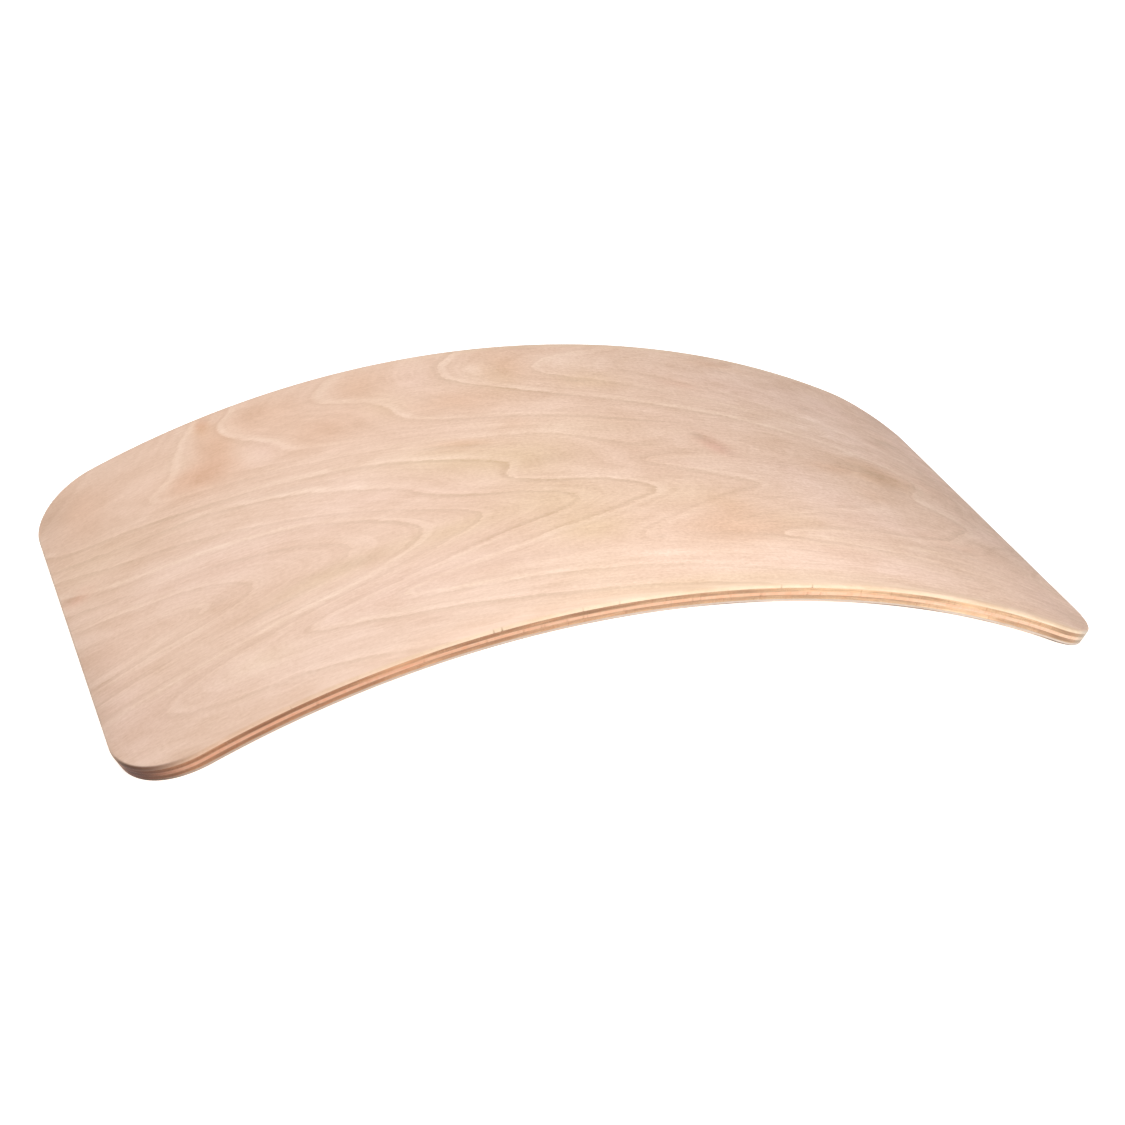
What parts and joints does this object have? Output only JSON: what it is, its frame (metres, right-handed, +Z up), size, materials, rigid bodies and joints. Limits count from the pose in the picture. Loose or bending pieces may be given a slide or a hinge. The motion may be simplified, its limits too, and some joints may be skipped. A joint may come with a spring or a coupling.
{
  "type": "balance arch",
  "caption": "Bent plywood balance arch with rounded corners and edges, standing crown up on its two ends; a low bridge to step over, or a rocker board when turned over.",
  "frame": {"origin": "middle of the footprint, on the surface that the two ends stand on", "axes": "+X along the board's length, +Y across its width, +Z up through the crown"},
  "size_m": [0.7616, 0.415, 0.1152],
  "materials": {
    "face_veneer": "pale rotary-cut hardwood veneer, clear matt lacquer, grain along the board",
    "crossband": "hardwood crossband, end grain on the long edges, clear matt lacquer",
    "core": "hardwood core ply, long grain on the long edges, clear matt lacquer",
    "glue": "cured brown resin film, seen only as a thin line on the edge"
  },
  "bodies": {
    "root": {"top_face_veneer": "face_veneer", "glue_line_upper_outer": "glue", "upper_crossband_ply": "crossband", "glue_line_upper_inner": "glue", "core_ply": "core", "glue_line_lower_inner": "glue", "lower_crossband_ply": "crossband", "glue_line_lower_outer": "glue", "bottom_face_veneer": "face_veneer"}
  },
  "joints": []
}
